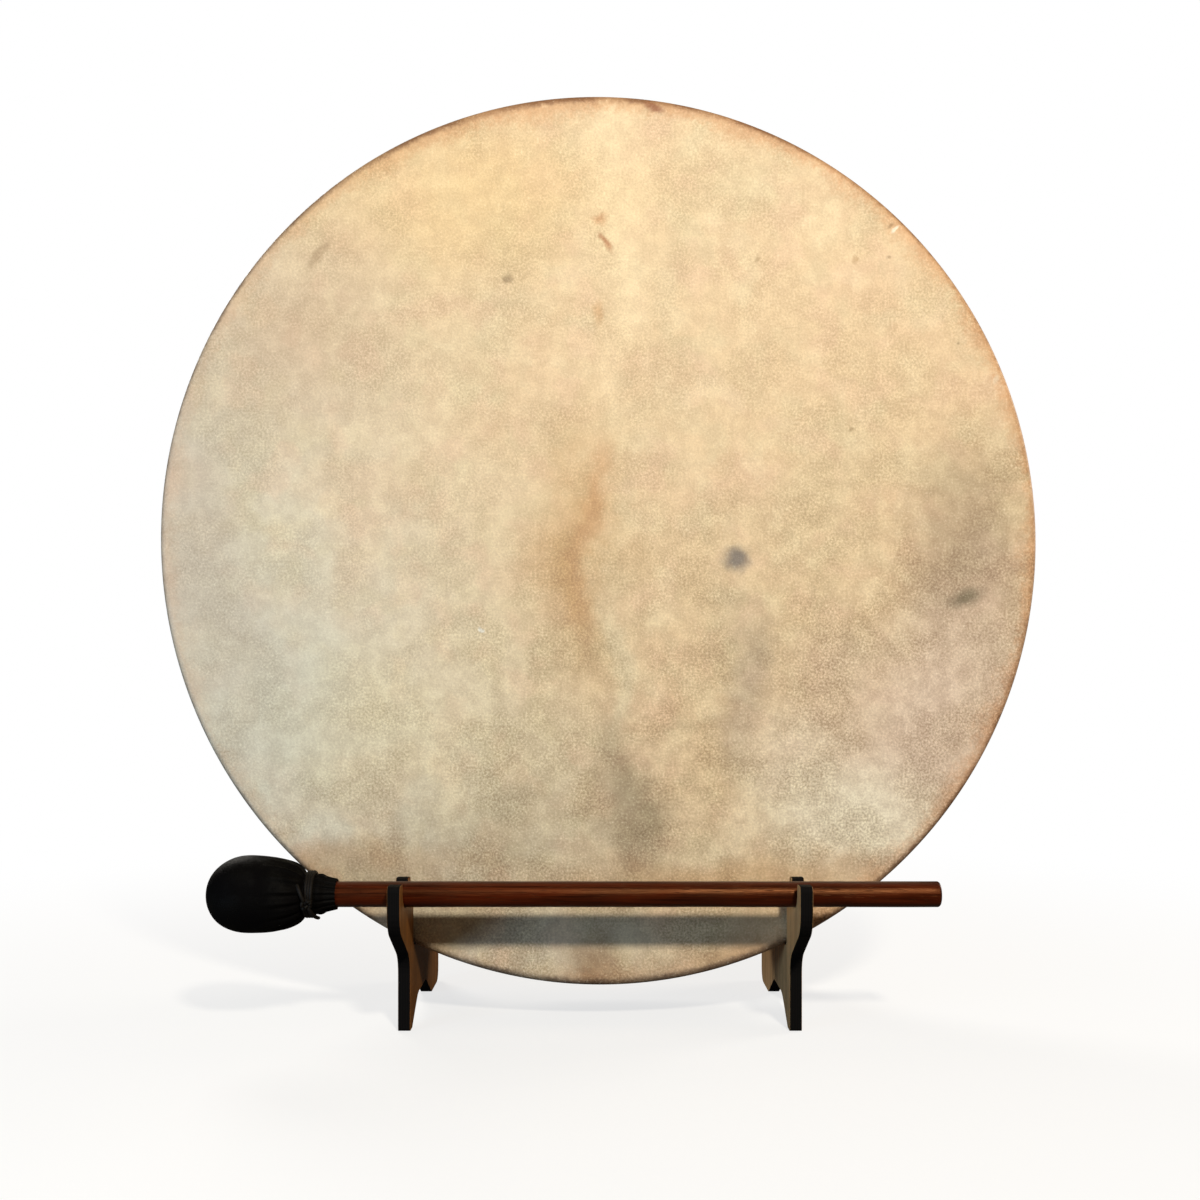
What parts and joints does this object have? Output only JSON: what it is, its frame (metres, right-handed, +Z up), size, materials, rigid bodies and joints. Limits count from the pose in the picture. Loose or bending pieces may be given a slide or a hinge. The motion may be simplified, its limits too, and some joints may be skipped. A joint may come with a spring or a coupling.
{
  "type": "ceremonial frame drum",
  "caption": "Round rawhide frame drum on a bent-wood hoop, laced to a hand ring at the back, standing in a slotted wooden stand with its padded beater across the front.",
  "frame": {"origin": "middle of the object's footprint box on the floor, under the drum's centre from left to right", "axes": "+X to the right seen from the front, +Y away from the viewer through the drum, +Z up"},
  "size_m": [0.4572, 0.156, 0.4838],
  "materials": {
    "hide": "scraped rawhide, dry and mottled",
    "hoop_wood": "bent ash, oiled",
    "thong": "dried rawhide thong",
    "ring_leather": "soft leather wrapping",
    "stick_wood": "reddish-brown hardwood, satin",
    "head_leather": "dark leather, stuffed",
    "binding_leather": "dark leather thong",
    "stand_wood": "stained boards with blackened edges"
  },
  "bodies": {
    "root": {"drum_skin": "hide", "drum_hoop": "hoop_wood", "lace_01": "thong", "lace_02": "thong", "lace_03": "thong", "lace_04": "thong", "lace_05": "thong", "lace_06": "thong", "lace_07": "thong", "lace_08": "thong", "lace_09": "thong", "lace_10": "thong", "lace_11": "thong", "lace_12": "thong", "hand_ring": "ring_leather", "beater_stick": "stick_wood", "beater_head": "head_leather", "beater_binding": "binding_leather", "stand_side_left": "stand_wood", "stand_side_right": "stand_wood", "stand_crossbar": "stand_wood"}
  },
  "joints": []
}
